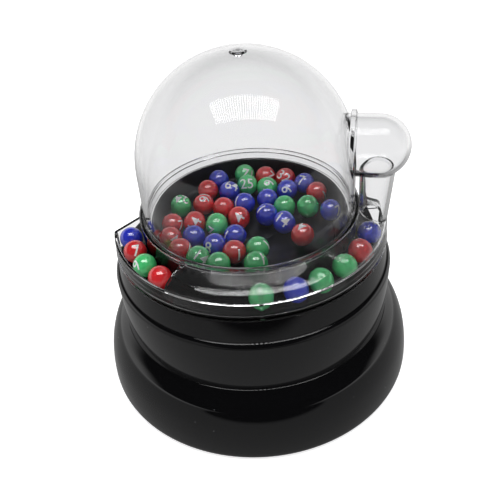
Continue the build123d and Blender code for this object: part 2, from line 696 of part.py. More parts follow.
for colour in ("red", "green", "blue"):
    with BuildPart() as ball_group:
        spots = [(p[0], p[1], turntable_top + ball_radius)
                 for p, (x, y, c) in zip(settled, dome_balls) if c == colour]
        with Locations(*spots):
            Sphere(ball_radius)
    keep(ball_group, f"dome_balls_{colour}")
    for group, row in (("open", open_end_balls), ("roofed", roofed_balls)):
        with BuildPart() as tray_group:
            spots = [polar(tray_ball_radius, azimuth, tray_floor + ball_radius + 0.02)
                     for azimuth, c in row if c == colour]
            with Locations(*spots):
                Sphere(ball_radius)
        keep(tray_group, f"{group}_balls_{colour}")
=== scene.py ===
"""Looks of the ball-drawing machine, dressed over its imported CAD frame.

The glossy black base, the clear dome, nose, chute, tray and roof, and the numbered balls
are rebuilt here as smooth meshes; the CAD nodes inside keep their shape and get finishes.
Metres, +Z up, origin on the ground under the dome's centre, tray towards -Y.
"""

import json
from math import acos, atan2, cos, degrees, pi, radians, sin, sqrt

import bmesh
import bpy
from mathutils import Matrix, Vector


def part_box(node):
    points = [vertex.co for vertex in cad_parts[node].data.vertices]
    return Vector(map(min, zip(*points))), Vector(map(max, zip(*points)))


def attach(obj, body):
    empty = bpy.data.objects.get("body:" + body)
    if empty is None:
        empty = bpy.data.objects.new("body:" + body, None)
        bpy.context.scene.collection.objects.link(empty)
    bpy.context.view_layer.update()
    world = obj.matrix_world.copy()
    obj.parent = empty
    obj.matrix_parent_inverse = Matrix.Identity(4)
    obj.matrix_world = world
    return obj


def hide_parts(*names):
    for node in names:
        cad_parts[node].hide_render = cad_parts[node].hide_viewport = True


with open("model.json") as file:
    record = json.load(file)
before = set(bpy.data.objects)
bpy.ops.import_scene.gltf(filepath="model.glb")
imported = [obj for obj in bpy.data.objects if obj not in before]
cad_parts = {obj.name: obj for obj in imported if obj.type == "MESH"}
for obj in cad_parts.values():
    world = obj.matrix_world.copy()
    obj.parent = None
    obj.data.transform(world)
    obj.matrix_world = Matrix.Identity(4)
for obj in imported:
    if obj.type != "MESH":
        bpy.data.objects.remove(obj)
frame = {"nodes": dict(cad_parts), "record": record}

bl_info = {
    "name": "Ball-drawing machine looks",
    "version": (1, 0, 0),
    "blender": (4, 5, 0),
    "location": "3D View > Sidebar > Ball machine",
    "description": "Builds the visible pieces and finishes of a tabletop ball-drawing machine",
    "category": "Object",
}

MM = 0.001


def corner(node, which, axis):
    """One coordinate of a CAD node's box, in metres."""
    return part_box(node)[which][axis]


# ---------------------------------------------------------------- sizes read from the frame
BALL_RADIUS = (corner("open_balls_blue", 1, 2) - corner("open_balls_blue", 0, 2)) / 2


class BallMachineSizes(bpy.types.PropertyGroup):
    """Sizes a user may change."""

    ball_radius: bpy.props.FloatProperty(
        name="Ball radius", description="Radius of one numbered ball",
        default=BALL_RADIUS, unit="LENGTH")
    numeral_height: bpy.props.FloatProperty(
        name="Numeral height", description="Height of the printed numerals on a ball",
        default=5.0 * MM, unit="LENGTH")


class BallMachineColours(bpy.types.PropertyGroup):
    """Colours a user may change."""

    body: bpy.props.FloatVectorProperty(
        name="Body black", description="Colour of the glossy black mouldings",
        default=(0.0022, 0.0022, 0.0026), size=3, subtype="COLOR", min=0, max=1)
    red: bpy.props.FloatVectorProperty(
        name="Red ball", description="Colour of the red balls",
        default=(0.66, 0.024, 0.030), size=3, subtype="COLOR", min=0, max=1)
    green: bpy.props.FloatVectorProperty(
        name="Green ball", description="Colour of the green balls",
        default=(0.070, 0.56, 0.18), size=3, subtype="COLOR", min=0, max=1)
    blue: bpy.props.FloatVectorProperty(
        name="Blue ball", description="Colour of the blue balls",
        default=(0.024, 0.040, 0.54), size=3, subtype="COLOR", min=0, max=1)


def sizes():
    return bpy.context.scene.ball_machine_sizes


def colours():
    return bpy.context.scene.ball_machine_colours


# ---------------------------------------------------------------- mesh helpers
def new_object(name, verts, faces, smooth=True):
    """Mesh object at the origin from points and faces."""
    mesh = bpy.data.meshes.new(name)
    mesh.from_pydata(verts, [], faces)
    mesh.update()
    for polygon in mesh.polygons:
        polygon.use_smooth = smooth
    obj = bpy.data.objects.new(name, mesh)
    bpy.context.scene.collection.objects.link(obj)
    return obj


def tidy_normals(obj):
    """Merge doubles and point all faces outwards."""
    bm = bmesh.new()
    bm.from_mesh(obj.data)
    bmesh.ops.remove_doubles(bm, verts=bm.verts, dist=1e-6)
    bmesh.ops.recalc_face_normals(bm, faces=bm.faces)
    bm.to_mesh(obj.data)
    bm.free()


def rounded(points, radii, steps=5):
    """Closed (radius, z) outline in mm with its corners rounded."""
    out = []
    count = len(points)
    for i in range(count):
        here = Vector(points[i])
        before = Vector(points[i - 1])
        after = Vector(points[(i + 1) % count])
        size = radii[i] if isinstance(radii, (list, tuple)) else radii
        way_in, way_out = before - here, after - here
        size = min(size, way_in.length * 0.45, way_out.length * 0.45)
        if size < 0.02 or way_in.angle(way_out) > pi - 0.03:
            out.append(here)
            continue
        start = here + way_in.normalized() * size
        end = here + way_out.normalized() * size
        for k in range(steps + 1):
            t = k / steps
            out.append(start * (1 - t) ** 2 + here * 2 * t * (1 - t) + end * t ** 2)
    return [(p.x * MM, p.y * MM) for p in out]


def lathe(name, outline, start=0.0, end=360.0, step=2.0):
    """Turn a closed (radius, z) outline in metres about the axis; a part turn gets end caps."""
    full = end - start >= 359.99
    turns = max(3, round((end - start) / step))
    rings = turns if full else turns + 1
    verts, faces = [], []
    count = len(outline)
    for k in range(rings):
        a = radians(start + (end - start) * k / turns)
        verts += [(r * cos(a), r * sin(a), z) for r, z in outline]
    for k in range(turns):
        a, b = k * count, ((k + 1) % rings) * count
        for i in range(count):
            j = (i + 1) % count
            faces.append((a + i, b + i, b + j, a + j))
    if not full:
        faces.append(tuple(range(count)))
        faces.append(tuple(reversed(range((rings - 1) * count, rings * count))))
    obj = new_object(name, verts, faces)
    tidy_normals(obj)
    return obj


def curve_points(points, count=24):
    """Points of a smooth spline through a few (radius, z) points."""
    out = []
    last = len(points) - 1
    for i in range(last):
        p0, p1 = Vector(points[max(i - 1, 0)]), Vector(points[i])
        p2, p3 = Vector(points[i + 1]), Vector(points[min(i + 2, last)])
        steps = max(2, count // last)
        for k in range(steps):
            t = k / steps
            out.append(0.5 * (2 * p1 + (p2 - p0) * t + (2 * p0 - 5 * p1 + 4 * p2 - p3) * t * t
                              + (3 * p1 - p0 - 3 * p2 + p3) * t ** 3))
    out.append(Vector(points[last]))
    return [(p.x, p.y) for p in out]


def put_material(obj, material):
    obj.data.materials.clear()
    obj.data.materials.append(material)


def worked_out(obj):
    """Plain mesh of an object with its modifiers applied; they are removed."""
    mesh = bpy.data.meshes.new_from_object(obj.evaluated_get(bpy.context.evaluated_depsgraph_get()))
    obj.modifiers.clear()
    return mesh


def combine(obj, other, operation):
    """Boolean of two closed meshes; the other one is used up."""
    step = obj.modifiers.new("combine", "BOOLEAN")
    step.object, step.operation, step.solver = other, operation, "EXACT"
    obj.data = worked_out(obj)
    bpy.data.objects.remove(other)
    return obj


def sharpen(obj, angle=30.0):
    """Smooth shading with creases kept where faces meet at more than an angle."""
    for polygon in obj.data.polygons:
        polygon.use_smooth = True
    obj.data.set_sharp_from_angle(angle=radians(angle))


def join(name, parts):
    """One object from several, at the origin."""
    verts, faces = [], []
    for part in parts:
        start = len(verts)
        verts += [tuple(v.co) for v in part.data.vertices]
        faces += [tuple(start + i for i in p.vertices) for p in part.data.polygons]
        bpy.data.objects.remove(part)
    return new_object(name, verts, faces)


def box_mesh(low, high, turn=None):
    """Closed box between two corners in mm, with an optional matrix."""
    corners = [Vector((x, y, z)) * MM for x in (low[0], high[0]) for y in (low[1], high[1])
               for z in (low[2], high[2])]
    if turn is not None:
        corners = [turn @ c for c in corners]
    faces = [(0, 1, 3, 2), (4, 6, 7, 5), (0, 4, 5, 1), (2, 3, 7, 6), (0, 2, 6, 4), (1, 5, 7, 3)]
    obj = new_object("box", [tuple(c) for c in corners], faces, smooth=False)
    tidy_normals(obj)
    return obj


def move_mesh(obj, matrix):
    obj.data.transform(matrix)
    obj.data.update()


def arc(centre, radius, start, end, steps):
    """Points in mm on an arc about a (radius, z) centre, angles in degrees."""
    return [(centre[0] + radius * cos(radians(start + (end - start) * k / steps)),
             centre[1] + radius * sin(radians(start + (end - start) * k / steps)))
            for k in range(steps + 1)]


def in_metres(points):
    return [(x * MM, z * MM) for x, z in points]


def wear(obj, nodes, body, slot, angle=30.0, look=None):
    """Shade a finished piece, give it its finish and tie it to the frame."""
    sharpen(obj, angle)
    put_material(obj, finish(look or slot))
    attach(obj, body)
    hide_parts(*nodes)
    return obj


# ---------------------------------------------------------------- nodes and shader groups
def add_node(tree, kind, output, inputs, **settings):
    """New node with its settings and its inputs, values or other sockets; returns one output."""
    node = tree.nodes.new(kind)
    for name, value in settings.items():
        setattr(node, name, value)
    for name, value in inputs.items():
        if isinstance(value, bpy.types.NodeSocket):
            tree.links.new(value, node.inputs[name])
        else:
            node.inputs[name].default_value = value
    return node.outputs[output]


def maths(tree, operation, *values, clamp=False):
    """Result of a sum on numbers and sockets."""
    inputs = dict(enumerate(values))
    return add_node(tree, "ShaderNodeMath", "Value", inputs, operation=operation, use_clamp=clamp)


def remap(tree, value, low, high, to_low=0.0, to_high=1.0, kind="LINEAR"):
    """The value with its range from low to high mapped on another one."""
    inputs = {"Value": value, "From Min": low, "From Max": high, "To Min": to_low, "To Max": to_high}
    return add_node(tree, "ShaderNodeMapRange", "Result", inputs, interpolation_type=kind)


def place_on(tree, space="Object"):
    """Coordinates of the shaded point."""
    return add_node(tree, "ShaderNodeTexCoord", space, {})


def noise(tree, scale, detail):
    """Soft random value over the object."""
    inputs = {"Vector": place_on(tree), "Scale": scale, "Detail": detail}
    return add_node(tree, "ShaderNodeTexNoise", "Fac", inputs)


def group(name, inputs, outputs):
    """Empty shader group with float or colour sockets; returns it with its end nodes."""
    tree = bpy.data.node_groups.new(name, "ShaderNodeTree")
    for label, kind, default in inputs:
        socket = tree.interface.new_socket(name=label, in_out="INPUT", socket_type=kind)
        socket.default_value = default
    for label, kind in outputs:
        tree.interface.new_socket(name=label, in_out="OUTPUT", socket_type=kind)
    return tree, tree.nodes.new("NodeGroupInput").outputs, tree.nodes.new("NodeGroupOutput").inputs


def dust_group():
    """Fine specks of dust and faint smears: a mask and a roughness."""
    tree, given, result = group(
        "Dust and smears",
        [("Speck Scale", "NodeSocketFloat", 900.0), ("Speck Amount", "NodeSocketFloat", 0.2),
         ("Smear Scale", "NodeSocketFloat", 40.0), ("Base Roughness", "NodeSocketFloat", 0.06),
         ("Smear Roughness", "NodeSocketFloat", 0.08)],
        [("Specks", "NodeSocketFloat"), ("Roughness", "NodeSocketFloat")])
    cells = tree.nodes.new("ShaderNodeTexVoronoi")
    tree.links.new(place_on(tree), cells.inputs["Vector"])
    tree.links.new(given["Speck Scale"], cells.inputs["Scale"])
    near = remap(tree, cells.outputs["Distance"], 0.16, 0.08)
    tone = add_node(tree, "ShaderNodeSeparateColor", "Red", {"Color": cells.outputs["Color"]})
    chosen = maths(tree, "LESS_THAN", tone, given["Speck Amount"])
    tree.links.new(maths(tree, "MULTIPLY", near, chosen), result["Specks"])
    smears = remap(tree, noise(tree, given["Smear Scale"], 4.0), 0.42, 0.75)
    rough = maths(tree, "MULTIPLY_ADD", smears, given["Smear Roughness"], given["Base Roughness"])
    tree.links.new(rough, result["Roughness"])
    return tree


def ripple_group():
    """Very slight waviness of a moulded surface, as a height."""
    tree, given, result = group(
        "Moulding ripple",
        [("Wave Scale", "NodeSocketFloat", 30.0), ("Grain Scale", "NodeSocketFloat", 1500.0),
         ("Grain Share", "NodeSocketFloat", 0.1)],
        [("Height", "NodeSocketFloat")])
    waves, grain = noise(tree, given["Wave Scale"], 2.0), noise(tree, given["Grain Scale"], 2.0)
    inputs = {"Factor": given["Grain Share"], "A": waves, "B": grain}
    tree.links.new(add_node(tree, "ShaderNodeMix", "Result", inputs), result["Height"])
    return tree


def tone_group():
    """A colour that drifts slightly in lightness over the surface."""
    tree, given, result = group(
        "Colour drift",
        [("Colour", "NodeSocketColor", (0.5, 0.5, 0.5, 1)), ("Scale", "NodeSocketFloat", 60.0),
         ("Drift", "NodeSocketFloat", 0.1), ("Dust", "NodeSocketFloat", 0.0),
         ("Dust Colour", "NodeSocketColor", (0.45, 0.45, 0.46, 1))],
        [("Colour", "NodeSocketColor")])
    centred = maths(tree, "SUBTRACT", noise(tree, given["Scale"], 3.0), 0.5)
    swing = maths(tree, "MULTIPLY_ADD", centred, given["Drift"], 1.0)
    inputs = {0: given["Colour"], "Scale": swing}
    shade = add_node(tree, "ShaderNodeVectorMath", "Vector", inputs, operation="SCALE")
    inputs = {"Factor": given["Dust"], "A": shade, "B": given["Dust Colour"]}
    tree.links.new(add_node(tree, "ShaderNodeMix", "Result", inputs, data_type="RGBA"), result["Colour"])
    return tree


GROUPS = {}


def shader_group(name):
    """One of the shared shader groups, built the first time it is asked for."""
    makers = {"dust": dust_group, "ripple": ripple_group, "tone": tone_group}
    if name not in GROUPS:
        GROUPS[name] = makers[name]()
    return GROUPS[name]


def add_group(tree, name, **values):
    node = tree.nodes.new("ShaderNodeGroup")
    node.node_tree = shader_group(name)
    for label, value in values.items():
        node.inputs[label.replace("_", " ")].default_value = value
    return node


def fresh_material(name):
    """Node material with just a Principled shader; returns material, tree and shader."""
    material = bpy.data.materials.new(name)
    material.use_nodes = True
    tree = material.node_tree
    shader = tree.nodes["Principled BSDF"]
    return material, tree, shader


BUMP_DISTANCE = 1.0 * MM


def ripple_normal(tree, bump, **waves):
    """Normal of the surface with the moulding ripple on it."""
    ripple = add_group(tree, "ripple", **waves)
    inputs = {"Height": ripple.outputs["Height"], "Strength": bump, "Distance": BUMP_DISTANCE}
    return add_node(tree, "ShaderNodeBump", "Normal", inputs)


def moulded(name, colour, roughness, smear, drift=0.08, drift_scale=60.0, specks=0.0, bump=0.02, grain=0.1,
            metallic=0.0, ior=1.5):
    """Solid moulded or metal finish with drift, smears, dust specks and a faint ripple."""
    material, tree, shader = fresh_material(name)
    link = tree.links.new
    dust = add_group(tree, "dust", Speck_Amount=specks, Base_Roughness=roughness, Smear_Roughness=smear)
    tone = add_group(tree, "tone", Colour=(*colour, 1), Scale=drift_scale, Drift=drift)
    link(dust.outputs["Specks"], tone.inputs["Dust"])
    link(tone.outputs["Colour"], shader.inputs["Base Color"])
    link(dust.outputs["Roughness"], shader.inputs["Roughness"])
    link(ripple_normal(tree, bump, Grain_Share=grain), shader.inputs["Normal"])
    shader.inputs["Metallic"].default_value = metallic
    shader.inputs["IOR"].default_value = ior
    return material


def clear_plastic(name, wave_scale, bump, tint, specular):
    """Clear acrylic: transmission with faint smears, dust and ripple."""
    material, tree, shader = fresh_material(name)
    link = tree.links.new
    dust = add_group(tree, "dust", Speck_Scale=700.0, Speck_Amount=0.01, Base_Roughness=0.0,
                     Smear_Roughness=0.006)
    link(dust.outputs["Roughness"], shader.inputs["Roughness"])
    tone = add_group(tree, "tone", Colour=(0.925, 0.925, 0.93, 1), Drift=0.01)
    link(dust.outputs["Specks"], tone.inputs["Dust"])
    link(tone.outputs["Colour"], shader.inputs["Base Color"])
    link(ripple_normal(tree, bump, Wave_Scale=wave_scale, Grain_Share=0.0), shader.inputs["Normal"])
    shader.inputs["Metallic"].default_value = 0.0
    shader.inputs["Transmission Weight"].default_value = 1.0
    shader.inputs["IOR"].default_value = ACRYLIC_IOR
    shader.inputs["Specular Tint"].default_value = (tint, tint, tint, 1)
    shader.inputs["Specular IOR Level"].default_value = specular
    return material


# Title, colour (or the name of a user's colour), roughness, smears' roughness and further settings.
MOULDED = {
    "gloss_black": ("Gloss black", "body", 0.015, 0.02, {"specks": 0.004, "bump": 0.008, "grain": 0.02}),
    "bowl_black": ("Bowl black", (0.005, 0.005, 0.010), 0.30, 0.10, {"specks": 0.05}),
    "inner_black": ("Satin inner black", (0.016, 0.016, 0.018), 0.38, 0.12, {"bump": 0.2, "grain": 0.6}),
    "white_acetal": ("White acetal", (0.72, 0.72, 0.69), 0.35, 0.1, {"bump": 0.05}),
    "steel": ("Plated steel", (0.56, 0.57, 0.58), 0.22, 0.18, {"metallic": 1.0, "bump": 0.05}),
    "brass": ("Brass", (0.72, 0.50, 0.22), 0.25, 0.18, {"metallic": 1.0, "bump": 0.05}),
    "rubber": ("Rubber", (0.02, 0.02, 0.021), 0.7, 0.15, {"bump": 0.4, "grain": 0.8}),
    "cell_jacket": ("Cell jacket", (0.03, 0.10, 0.075), 0.25, 0.1, {"bump": 0.03}),
    "numeral": ("Numeral print", (0.80, 0.80, 0.82), 0.35, 0.15,
                {"drift": 0.2, "drift_scale": 900, "bump": 0.1}),
}
for ball_colour in ("red", "green", "blue"):
    MOULDED[f"{ball_colour}_ball"] = (f"{ball_colour.capitalize()} ball", ball_colour, 0.04, 0.04,
                                      {"drift": 0.12, "drift_scale": 120, "ior": 2.0})
# Title, scale and strength of the ripple, specular tint and specular level.
CLEAR = {
    "clear": ("Clear acrylic", 25.0, 0.012, 0.4, 0.5),
    "clear_wavy": ("Clear acrylic, wavy", 260.0, 0.12, 1.0, 1.0),
}
MATERIALS = {}


def finish(name):
    """A finish by its slot name, built the first time it is asked for."""
    if name not in MATERIALS and name in CLEAR:
        MATERIALS[name] = clear_plastic(*CLEAR[name])
    elif name not in MATERIALS:
        title, colour, roughness, smear, further = MOULDED[name]
        if isinstance(colour, str):
            colour = getattr(colours(), colour)
        MATERIALS[name] = moulded(title, colour, roughness, smear, **further)
    return MATERIALS[name]


# ---------------------------------------------------------------- black mouldings
FOOT_TOP, DRUM_TOP, LEDGE_TOP, DECK_TOP, TRAY_TOP = 33.3, 58.2, 60.2, 70.6, 79.0
DRUM_RADIUS = 63.4
CRESCENT_START, CRESCENT_END, CHEEK = 186.0, 352.0, 2.0
POST_RING, PEG_RING = 0.042, 0.024


def foot_piece():
    """Wide glossy bell with a rolled lower edge."""
    outside = curve_points([(72.4, 0.8), (73.25, 1.9), (73.6, 4.5), (73.2, 11.0), (71.9, 18.5),
                            (69.5, 25.2), (66.6, 29.9), (62.6, FOOT_TOP)], 84)
    inside = curve_points([(62.4, 31.1), (66.9, 25.0), (69.6, 17.5), (70.9, 9.0), (71.2, 0.8)], 24)
    obj = lathe("foot", in_metres(outside + [(50.0, FOOT_TOP), (50.0, 31.1)] + inside), step=1.5)
    return wear(obj, ["foot_shell"], "base", "gloss_black", 40)


def drum_piece():
    """Upright band above the foot, with the switch recess in its back."""
    wall = rounded([(62.6, FOOT_TOP), (DRUM_RADIUS, DRUM_TOP), (61.2, DRUM_TOP), (60.4, 35.3), (51.0, 35.3),
                    (51.0, FOOT_TOP)], [0.2, 0.55, 0.3, 0.2, 0.2, 0.2], 6)
    obj = lathe("drum", wall, step=1.5)
    combine(obj, box_mesh((-4.3, 56.0, 39.4), (4.3, 66.0, 52.6)), "DIFFERENCE")
    combine(obj, box_mesh((-5.4, 62.4, 38.3), (5.4, 66.0, 53.7)), "DIFFERENCE")
    return wear(obj, ["drum_shell"], "base", "gloss_black")


def deck_piece():
    """Ledge, turret and the raised crescent that carries the tray."""
    brow = curve_points([(63.38, 58.4), (63.2, 59.1), (62.85, 59.65), (62.35, 60.05), (61.7, LEDGE_TOP)], 24)
    ledge = in_metres([(DRUM_RADIUS, DRUM_TOP)] + brow)
    ledge += rounded([(48.4, LEDGE_TOP), (48.4, DECK_TOP), (44.5, DECK_TOP), (44.5, 69.0), (37.0, 69.0),
                      (37.0, 67.0), (46.4, 67.0), (46.4, DRUM_TOP), (59.2, DRUM_TOP), (59.2, 55.2),
                      (60.8, 55.2), (60.8, DRUM_TOP)],
                     [0.5, 0.4, 0.3, 0.3, 0.3, 0.3, 0.3, 0.3, 0.1, 0.3, 0.3, 0.1])
    crescent = rounded([(61.9, 60.15), (60.4, DECK_TOP), (47.9, DECK_TOP), (47.9, 68.6), (58.6, 68.6),
                        (60.0, 60.15)], [0.1, 0.7, 0.2, 0.2, 0.2, 0.1], 7)
    parts = [lathe("ledge", ledge, step=1.5), lathe("crescent", crescent, CRESCENT_START, CRESCENT_END, 1.5)]
    for start in (CRESCENT_START, CRESCENT_END - CHEEK):
        cheek = rounded([(61.8, 60.1), (60.3, 70.5), (48.0, 70.5), (48.0, 60.1)], [0.1, 0.6, 0.1, 0.1])
        parts.append(lathe("cheek", cheek, start, start + CHEEK, 1.0))
    for k in range(3):
        a = radians(120 * k)
        post = lathe("post", in_metres([(0.0, 52.0), (3.5, 52.0), (3.5, 67.2), (0.0, 67.2)]), step=15)
        move_mesh(post, Matrix.Translation((POST_RING * cos(a), POST_RING * sin(a), 0)))
        parts.append(post)
    return wear(join("deck", parts), ["upper_deck"], "base", "gloss_black")


def bowl_piece():
    """Shallow black bowl with a thin rounded rim."""
    wall = [(4.0, 69.0), (44.1, 69.0)] + arc((43.5, 82.3), 0.6, 0, 180, 12)
    wall += curve_points([(42.1, 74.4), (41.85, 73.5), (41.2, 72.9), (40.2, 72.6)], 12)
    wall += [(38.5, 72.6), (38.5, 70.8), (4.0, 70.8)]
    return wear(lathe("bowl", in_metres(wall), step=1.5), ["bowl"], "base", "bowl_black")


def turntable_piece():
    """Spinning floor of the bowl with a fine turned ring and two low pegs."""
    top = [(7.0, 71.4), (37.6, 71.4), (38.0, 71.8), (38.0, 72.7), (37.7, 73.0)]
    top += [(12.4, 73.0), (12.2, 72.92), (12.0, 73.0), (0.0, 73.0), (0.0, 71.1), (7.0, 71.1)]
    parts = [lathe("disc", in_metres(top), step=2)]
    for azimuth in (35.0, 215.0):
        a = radians(azimuth)
        side = [(0.0, 72.5), (1.6, 72.5), (1.6, 74.8), (1.45, 75.2), (1.0, 75.4), (0.0, 75.4)]
        peg = lathe("peg", in_metres(side), step=12)
        move_mesh(peg, Matrix.Translation((PEG_RING * cos(a), PEG_RING * sin(a), 0)))
        parts.append(peg)
    return wear(join("turntable_disc", parts), ["turntable"], "rotor", "bowl_black")


# ---------------------------------------------------------------- clear mouldings
DOME_RADIUS, DOME_CENTRE, WALL = 46.5, 108.4, 1.5
LIP_LOW, LIP_TOP, LIP_REACH, SKIRT = 84.8, 86.6, 48.6, 82.0
NOSE_AZIMUTH, NOSE_HEIGHT, NOSE_RADIUS, NOSE_END = -12.0, 116.0, 12.8, 55.3
ROOF_START, TRAY_START, TRAY_END, STOP_START = 234.0, 168.0, 359.4, 358.0
SEAM, SEAM_HALF = 271.5, 0.8
PORT_RADIUS, PLUG_HOLE, CHUTE_RISE, ACRYLIC_IOR = 11.3, 1.8, 33.0, 1.49


def nose_frame():
    """Matrix that stands a turned piece on the nose's axis."""
    return (Matrix.Rotation(radians(NOSE_AZIMUTH), 4, "Z") @ Matrix.Translation((0, 0, NOSE_HEIGHT * MM))
            @ Matrix.Rotation(radians(90), 4, "Y"))


def nose_solid(name, radius, low=30.0):
    """Solid round-ended bar along the nose's axis."""
    points = [(0.0, low), (radius, low)] + arc((0.0, NOSE_END), radius, 0, 90, 28)
    obj = lathe(name, in_metres(points), step=3)
    move_mesh(obj, nose_frame())
    return obj


def dome_solid(name, radius, low):
    """Solid dome with an upright lower part."""
    points = [(0.0, low), (radius, low)] + arc((0.0, DOME_CENTRE), radius, 0, 90, 48)
    return lathe(name, in_metres(points), step=2)


def chute_bar(name, thinner, low=TRAY_TOP, high=TRAY_TOP + CHUTE_RISE):
    """Upright bar of the drop chute, elliptical in plan and tapered."""
    a = radians(NOSE_AZIMUTH)
    rings, turns = 12, 72
    verts, faces = [], []
    for k in range(rings + 1):
        t = (low + (high - low) * k / rings - TRAY_TOP) / CHUTE_RISE
        reach, half_x, half_y = 54.4 + t, 6.0 + 1.8 * t - thinner, 8.0 - 0.1 * t - thinner
        for i in range(turns):
            u = 2 * pi * i / turns
            x, y = reach + half_x * cos(u), half_y * sin(u)
            z = low + (high - low) * k / rings
            verts.append(((x * cos(a) - y * sin(a)) * MM, (x * sin(a) + y * cos(a)) * MM, z * MM))
    for k in range(rings):
        for i in range(turns):
            j = (i + 1) % turns
            faces.append((k * turns + i, k * turns + j, (k + 1) * turns + j, (k + 1) * turns + i))
    faces.append(tuple(reversed(range(turns))))
    faces.append(tuple(range(rings * turns, (rings + 1) * turns)))
    obj = new_object(name, verts, faces)
    tidy_normals(obj)
    return obj


def dome_piece():
    """Clear dome with its skirt, lip, nose port and the hole at its top."""
    high = degrees(acos(PLUG_HOLE / DOME_RADIUS))
    lip = rounded([(DOME_RADIUS, LIP_LOW), (LIP_REACH, LIP_LOW), (LIP_REACH, LIP_TOP), (DOME_RADIUS, LIP_TOP)],
                  [0.25, 0.5, 0.6, 0.6], 6)
    outside = in_metres(arc((0.0, DOME_CENTRE), DOME_RADIUS, 0, high, 64))
    inside_radius = DOME_RADIUS - WALL
    high = degrees(acos(PLUG_HOLE / inside_radius))
    inside = in_metres(arc((0.0, DOME_CENTRE), inside_radius, high, 0, 64))
    skirt = rounded([(inside_radius, 90.0), (inside_radius, SKIRT), (DOME_RADIUS, SKIRT),
                     (DOME_RADIUS, 84.0)], [0.0, 0.4, 0.4, 0.0])
    obj = lathe("dome_shell", skirt + lip + outside + inside, step=1.5)
    bore = in_metres([(0.0, 30.0), (PORT_RADIUS, 30.0), (PORT_RADIUS, 60.0), (0.0, 60.0)])
    port = lathe("port", bore, step=4)
    move_mesh(port, nose_frame())
    combine(obj, port, "DIFFERENCE")
    return wear(obj, ["dome"], "clear_top", "clear")


def plug_piece():
    """Small clear plug in the hole at the top of the dome."""
    head = rounded([(0.0, 154.85), (2.2, 154.85), (3.5, 154.75), (3.5, 155.15), (2.9, 155.5), (0.0, 155.5)],
                   [0, 0, 0.1, 0.15, 0.25, 0])
    stem = in_metres([(0.0, 152.4), (1.5, 152.4), (1.75, 152.7), (1.75, 154.9), (0.0, 154.9)])
    obj = join("top_plug", [lathe("head", head, step=6), lathe("stem", stem, step=6)])
    return wear(obj, ["apex_plug"], "clear_top", "clear")


def nose_piece():
    """Horizontal clear nose with a collar where it meets the dome."""
    outline = [(PORT_RADIUS, 30.0), (NOSE_RADIUS, 30.0)]
    outline += [(p[0] / MM, p[1] / MM) for p in rounded(
        [(NOSE_RADIUS, 43.6), (14.2, 43.6), (14.2, 46.0), (NOSE_RADIUS, 46.0)], [0.3, 0.5, 0.7, 0.6], 6)]
    outline += arc((0.0, NOSE_END), NOSE_RADIUS, 0, 90, 40)
    outline += arc((0.0, NOSE_END), NOSE_RADIUS - WALL, 90, 0, 40)
    obj = lathe("nose_shell", in_metres(outline), step=2.5)
    move_mesh(obj, nose_frame())
    combine(obj, dome_solid("dome_cutter", DOME_RADIUS, 82.0), "DIFFERENCE")
    combine(obj, chute_bar("bore", WALL, 78.0, 113.0), "DIFFERENCE")
    return wear(obj, ["nose_cap"], "clear_top", "clear")


def roof_outline():
    """Closed (radius, z) outline of the tray's roof in mm."""
    outside = [(59.3, TRAY_TOP), (60.8, TRAY_TOP)]
    outside += curve_points([(60.8, TRAY_TOP), (60.45, 80.9), (59.0, 82.55), (56.8, 83.6), (54.0, 84.4),
                             (48.6, 85.8)], 30)
    inside = curve_points([(48.6, 84.4), (53.6, 83.0), (55.9, 82.25), (57.8, 81.3), (59.0, 80.1),
                           (59.3, TRAY_TOP)], 30)
    return outside + inside[:-1]


def chute_piece():
    """Clear drop chute between the nose and the roof."""
    obj = chute_bar("chute", 0.0)
    combine(obj, chute_bar("bore", WALL, 78.0, 113.0), "DIFFERENCE")
    under = [(48.0, 76.0), (60.8, 76.0)] + roof_outline()[1:32] + [(48.0, 85.8)]
    combine(obj, lathe("under_roof", in_metres(under), 320.0, 370.0, 2.0), "DIFFERENCE")
    combine(obj, nose_solid("nose_cutter", NOSE_RADIUS), "DIFFERENCE")
    combine(obj, lathe("lip_cutter", in_metres([(0, 76.0), (LIP_REACH, 76.0), (LIP_REACH, LIP_TOP),
                                                (DOME_RADIUS, LIP_TOP), (DOME_RADIUS, 120.0), (0, 120.0)]),
                       step=2), "DIFFERENCE")
    return wear(obj, ["drop_chute"], "clear_top", "clear")


def roof_piece():
    """Clear roof over the tray, with the chute's opening and the raised seam."""
    obj = lathe("roof", in_metres(roof_outline()), ROOF_START, TRAY_END, 1.5)
    combine(obj, chute_bar("bore", WALL, 78.0, 104.0), "DIFFERENCE")
    outline = [(60.4, TRAY_TOP), (61.5, TRAY_TOP)]
    outline += curve_points([(61.5, TRAY_TOP), (61.0, 81.2), (59.5, 82.9), (57.0, 84.1), (54.2, 85.0),
                             (48.6, 86.4)], 20)
    outline += curve_points([(48.6, 85.2), (53.9, 83.9), (56.3, 83.2), (58.4, 81.9), (59.8, 80.6),
                             (60.4, TRAY_TOP)], 20)
    rib = lathe("seam", in_metres(outline[:-1]), SEAM - SEAM_HALF, SEAM + SEAM_HALF, SEAM_HALF)
    closed = in_metres([(48.6, TRAY_TOP), (60.6, TRAY_TOP), (59.0, 81.9), (53.8, 83.8), (48.6, 85.2)])
    end = lathe("end", closed, STOP_START, TRAY_END, 0.7)
    return wear(join("tray_roof", [obj, rib, end]), ["chute_roof"], "clear_top", "clear", look="clear_wavy")


